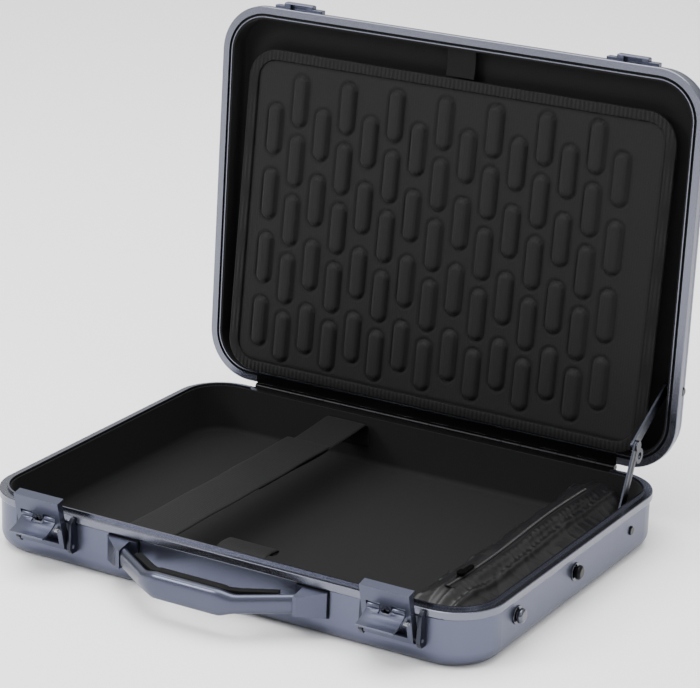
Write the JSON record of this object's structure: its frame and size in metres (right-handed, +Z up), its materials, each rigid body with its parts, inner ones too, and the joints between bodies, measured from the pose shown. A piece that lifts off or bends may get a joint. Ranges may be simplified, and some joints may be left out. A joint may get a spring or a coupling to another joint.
{
  "type": "laptop hard case",
  "caption": "Hard carrying case for a laptop: two aluminium shells in rim frames on a continuous hinge, with lever latches, folding stay, handle and padded sleeve.",
  "frame": {"origin": "centre of the case's flat underside, with the case lying flat and its lid open", "axes": "+X to the right side, +Y to the hinge, +Z up"},
  "size_m": [0.4342, 0.4014, 0.3698],
  "materials": {
    "blue_grey_shell": "pressed aluminium, satin blue-grey anodised",
    "blue_grey_rim": "extruded aluminium rim, satin blue-grey anodised",
    "blue_grey_hardware": "zinc casting, satin blue-grey coating",
    "dark_steel": "steel, satin black coating",
    "dark_chrome": "polished, dark nickel plating",
    "steel_pin": "bright steel",
    "black_board": "moulded foam board with a black fabric face",
    "black_eva": "moulded EVA foam with a black knitted face",
    "black_webbing": "woven nylon webbing",
    "black_nylon": "thin woven nylon over soft padding",
    "black_rubber": "soft black rubber"
  },
  "bodies": {
    "base": {"base_shell": "blue_grey_shell", "base_frame": "blue_grey_rim", "base_lining": "black_board", "hinge_leaf_base": "dark_steel", "hinge_pin": "steel_pin", "hinge_rivets_base": "dark_steel", "latch_base_left": "dark_steel", "latch_base_right": "dark_steel", "latch_pin_left": "steel_pin", "latch_pin_right": "steel_pin", "handle_mount_left": "blue_grey_hardware", "handle_mount_right": "blue_grey_hardware", "handle_gasket_left": "black_rubber", "handle_gasket_right": "black_rubber", "handle_pin_left": "steel_pin", "handle_pin_right": "steel_pin", "stud_washers": "dark_chrome", "strap_stud_front": "dark_chrome", "strap_stud_middle": "dark_steel", "stay_rivet_base": "dark_steel", "strap_rear": "black_webbing", "strap_front": "black_webbing", "pull_tab": "black_webbing", "accessory_pouch": "black_nylon", "pouch_zip": "black_webbing"},
    "lid": {"lid_shell": "blue_grey_shell", "lid_frame": "blue_grey_rim", "lid_lining": "black_board", "hinge_leaf_lid": "dark_steel", "hinge_rivets_lid": "dark_steel", "latch_keeper_left": "blue_grey_hardware", "latch_keeper_right": "blue_grey_hardware", "stay_rivet_lid": "dark_steel", "sleeve_loop": "black_webbing"},
    "sleeve": {"sleeve_panel": "black_eva", "sleeve_binding": "black_webbing"},
    "handle": {"handle_core": "blue_grey_hardware", "handle_pad": "black_rubber"},
    "stay_lower": {"stay_lower": "dark_steel", "stay_rivet_elbow": "dark_steel"},
    "stay_upper": {"stay_upper": "dark_steel"},
    "zip_slider": {"zip_slider": "dark_steel"},
    "latch_lever_left": {"latch_lever_left": "blue_grey_hardware", "flap_pins_left": "steel_pin"},
    "latch_flap_left": {"latch_flap_left": "blue_grey_hardware"},
    "lock_cylinder_left": {"lock_cylinder_left": "dark_chrome"},
    "latch_lever_right": {"latch_lever_right": "blue_grey_hardware", "flap_pins_right": "steel_pin"},
    "latch_flap_right": {"latch_flap_right": "blue_grey_hardware"},
    "lock_cylinder_right": {"lock_cylinder_right": "dark_chrome"}
  },
  "joints": [
    {"name": "lid_hinge", "type": "hinge", "parent": "base", "child": "lid", "pos_m": [0, 0.1619, 0.04515], "axis": [1, 0, 0], "range_deg": [0, 93]},
    {"name": "sleeve_swing", "type": "hinge", "parent": "lid", "child": "sleeve", "pos_m": [0, 0.1876, 0.3301], "axis": [1, 0, 0], "range_deg": [0, 3.37]},
    {"name": "handle_swing", "type": "hinge", "parent": "base", "child": "handle", "pos_m": [0, -0.1688, 0.0274], "axis": [1, 0, 0], "range_deg": [-80, 80]},
    {"name": "stay_lower_pivot", "type": "hinge", "parent": "base", "child": "stay_lower", "pos_m": [0, 0.094, 0.026], "axis": [1, 0, 0], "range_deg": [0, 102.81]},
    {"name": "stay_upper_pivot", "type": "hinge", "parent": "lid", "child": "stay_upper", "pos_m": [0, 0.17598, 0.11421], "axis": [1, 0, 0], "range_deg": [-107.54, 0]},
    {"name": "zip_slide", "type": "slide", "parent": "base", "child": "zip_slider", "axis": [0, 1, 0], "range_m": [-0.015, 0.19]},
    {"name": "latch_lever_left_pivot", "type": "hinge", "parent": "base", "child": "latch_lever_left", "pos_m": [-0.149, -0.1624, 0.0215], "axis": [1, 0, 0], "range_deg": [-13, 17]},
    {"name": "latch_flap_left_pivot", "type": "hinge", "parent": "latch_lever_left", "child": "latch_flap_left", "pos_m": [-0.149, -0.16963, 0.04303], "axis": [1, 0, 0], "range_deg": [-10, 76]},
    {"name": "lock_left_turn", "type": "hinge", "parent": "latch_lever_left", "child": "lock_cylinder_left", "pos_m": [-0.149, -0.16748, 0.04352], "axis": [0, -0.9744, -0.225], "range_deg": [0, 90]},
    {"name": "latch_lever_right_pivot", "type": "hinge", "parent": "base", "child": "latch_lever_right", "pos_m": [0.149, -0.1624, 0.0215], "axis": [1, 0, 0], "range_deg": [-13, 17]},
    {"name": "latch_flap_right_pivot", "type": "hinge", "parent": "latch_lever_right", "child": "latch_flap_right", "pos_m": [0.149, -0.16963, 0.04303], "axis": [1, 0, 0], "range_deg": [-10, 76]},
    {"name": "lock_right_turn", "type": "hinge", "parent": "latch_lever_right", "child": "lock_cylinder_right", "pos_m": [0.149, -0.16748, 0.04352], "axis": [0, -0.9744, -0.225], "range_deg": [0, 90]}
  ],
  "couplings": [
    {"joint": "stay_lower_pivot", "follows": "lid_hinge", "ratio": 1.1049},
    {"joint": "stay_upper_pivot", "follows": "lid_hinge", "ratio": -1.1558},
    {"joint": "sleeve_swing", "follows": "lid_hinge", "ratio": 0.03617}
  ]
}
